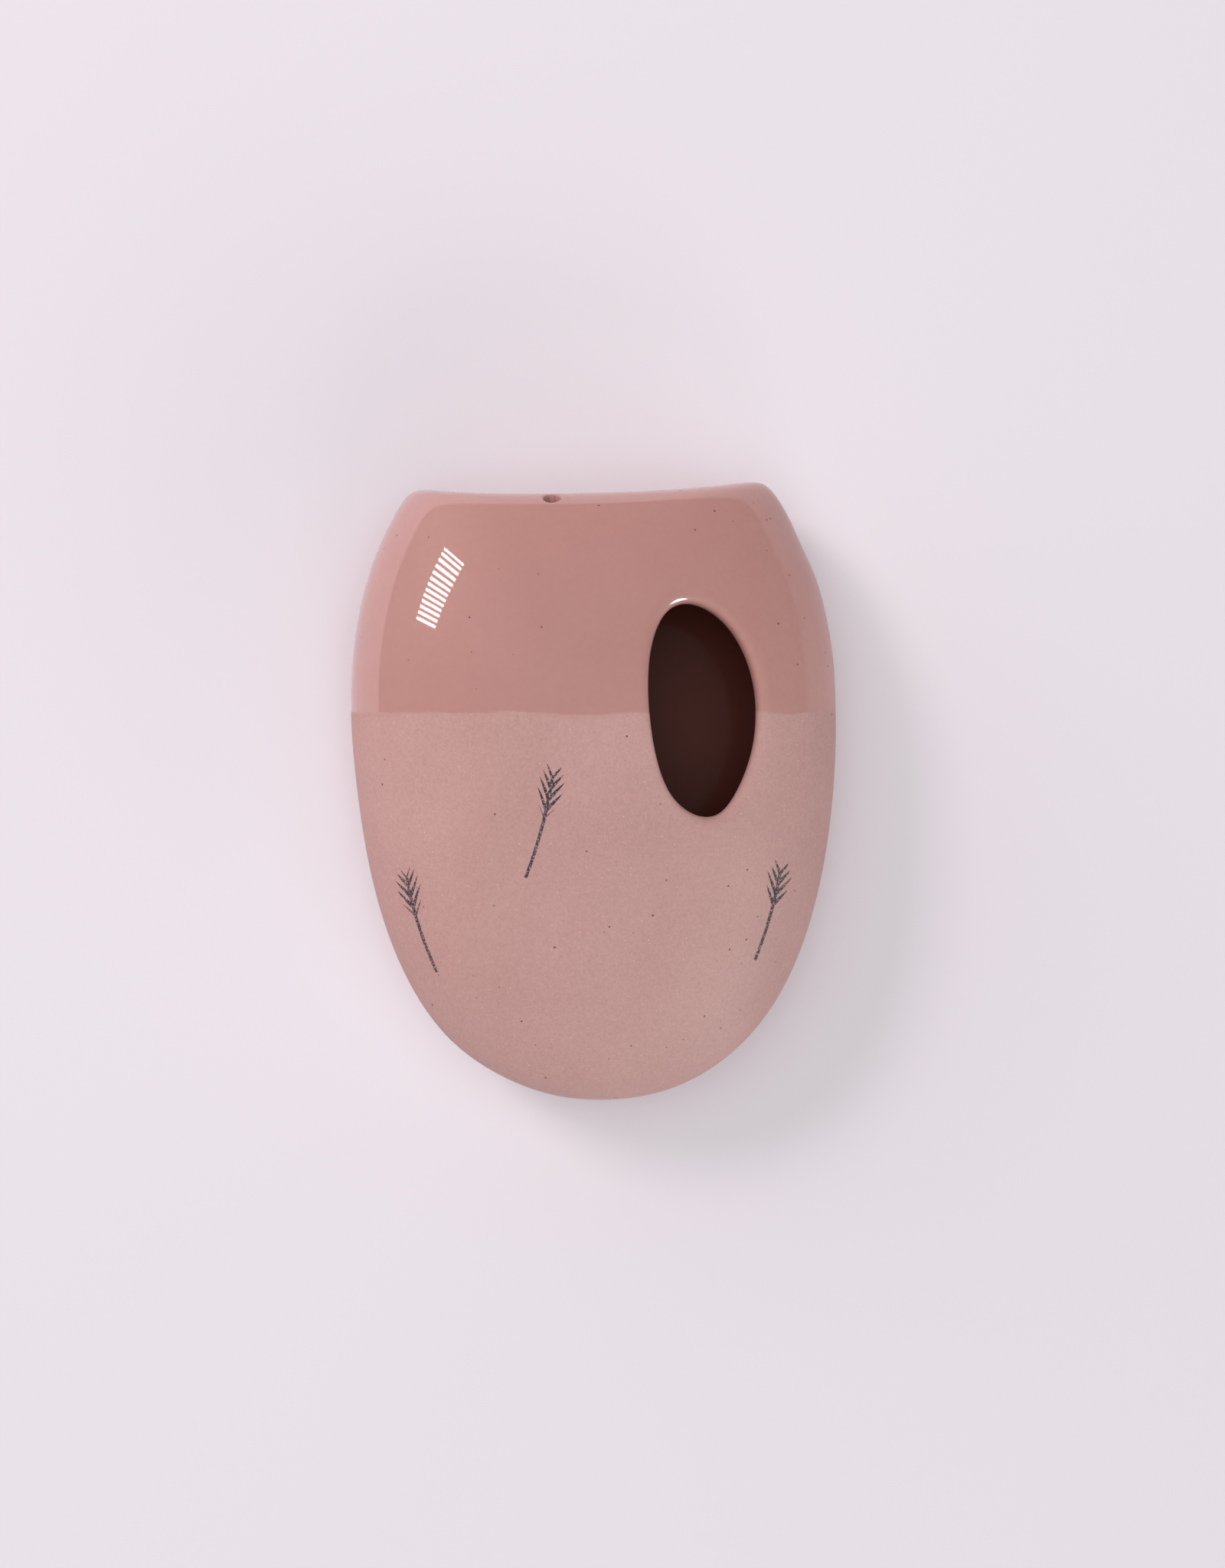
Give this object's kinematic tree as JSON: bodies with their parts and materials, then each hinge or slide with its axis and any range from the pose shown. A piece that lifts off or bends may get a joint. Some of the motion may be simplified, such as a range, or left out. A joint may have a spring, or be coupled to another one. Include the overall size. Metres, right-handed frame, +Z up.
{
  "type": "wall vase",
  "caption": "Small wall-hung porcelain vase with a flat back and cut top, an egg-shaped front opening, a stem hole at the top edge and a keyhole that hangs on a screw.",
  "frame": {"origin": "on the axis of the wall screw, in the plane of the wall", "axes": "+X to the right seen from the room, +Y into the wall, +Z up"},
  "size_m": [0.11, 0.0795, 0.1405],
  "materials": {
    "porcelain": "pink bisque with fine specks, matt below and under clear gloss glaze on the upper third and inside",
    "steel": "bright zinc plate",
    "nylon": "grey moulded nylon",
    "felt": "pressed wool felt"
  },
  "bodies": {
    "wall_fixing": {"wall_screw": "steel", "wall_plug": "nylon"},
    "vase": {"vase_body": "porcelain", "wall_pad_left": "felt", "wall_pad_right": "felt"}
  },
  "joints": [
    {"name": "lift_off", "type": "slide", "parent": "wall_fixing", "child": "vase", "axis": [0, 0, 1], "range_m": [0, 0.0095]}
  ]
}
